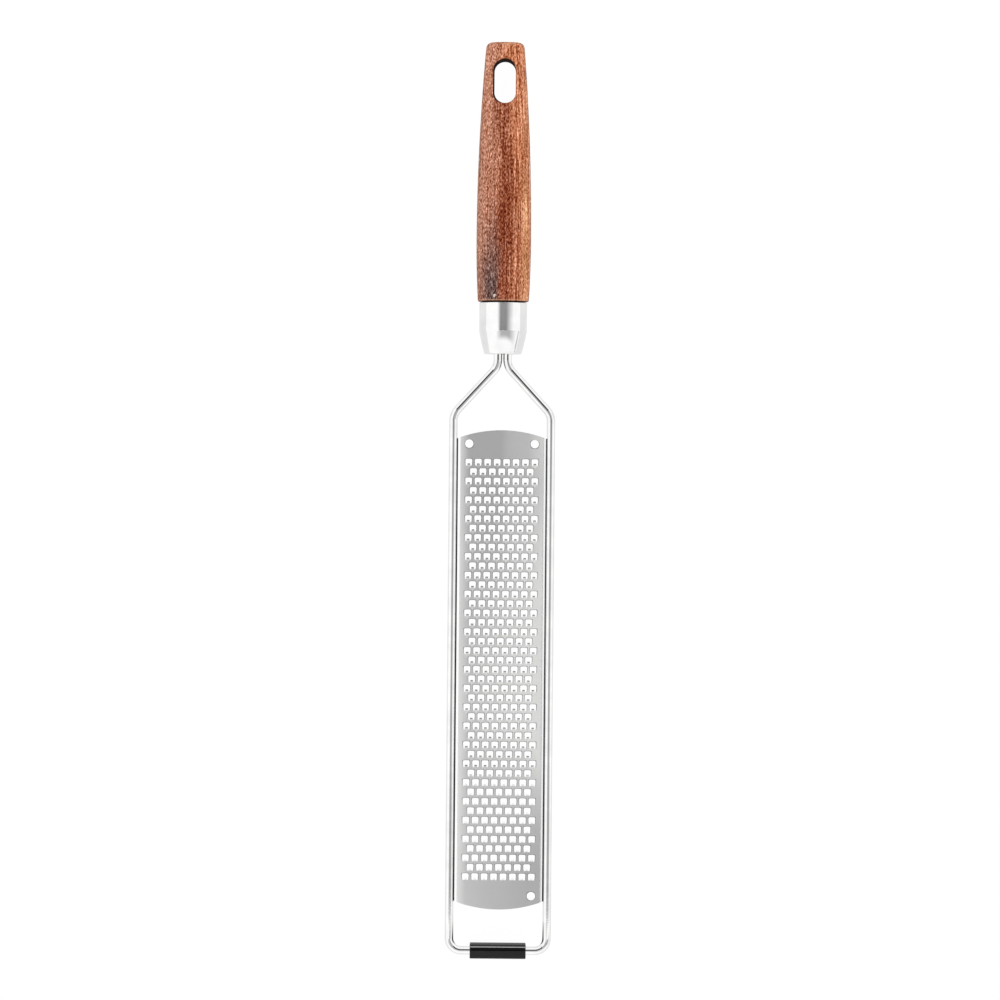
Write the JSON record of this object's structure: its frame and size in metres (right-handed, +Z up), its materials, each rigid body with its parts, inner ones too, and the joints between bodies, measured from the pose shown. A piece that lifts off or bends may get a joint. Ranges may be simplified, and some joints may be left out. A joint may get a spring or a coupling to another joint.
{
  "type": "rasp grater",
  "caption": "Long rasp grater: a toothed steel plate in a bent wire frame, with a wooden handle, a polished ferrule, a hanging slot and a black rubber foot.",
  "frame": {"origin": "under the middle of the part, on the surface it lies on", "axes": "+Y from the rubber foot to the handle's top, +Z up from the surface, the way the teeth face, +X across the plate"},
  "size_m": [0.0398, 0.3434, 0.0192],
  "materials": {
    "handle_wood": "oiled reddish-brown hardwood, straight grain, satin",
    "ferrule_steel": "polished stainless steel",
    "tang_adhesive": "hardened epoxy, hidden in the handle",
    "frame_steel": "polished stainless steel rod",
    "plate_steel": "satin stainless steel sheet",
    "foot_rubber": "matt black rubber",
    "weld_steel": "dull weld beads"
  },
  "bodies": {
    "root": {"wooden_handle": "handle_wood", "ferrule": "ferrule_steel", "tang_adhesive": "tang_adhesive", "wire_frame": "frame_steel", "grating_plate": "plate_steel", "rubber_foot": "foot_rubber", "weld_left_1": "weld_steel", "weld_left_2": "weld_steel", "weld_left_3": "weld_steel", "weld_left_4": "weld_steel", "weld_right_1": "weld_steel", "weld_right_2": "weld_steel", "weld_right_3": "weld_steel", "weld_right_4": "weld_steel"}
  },
  "joints": []
}
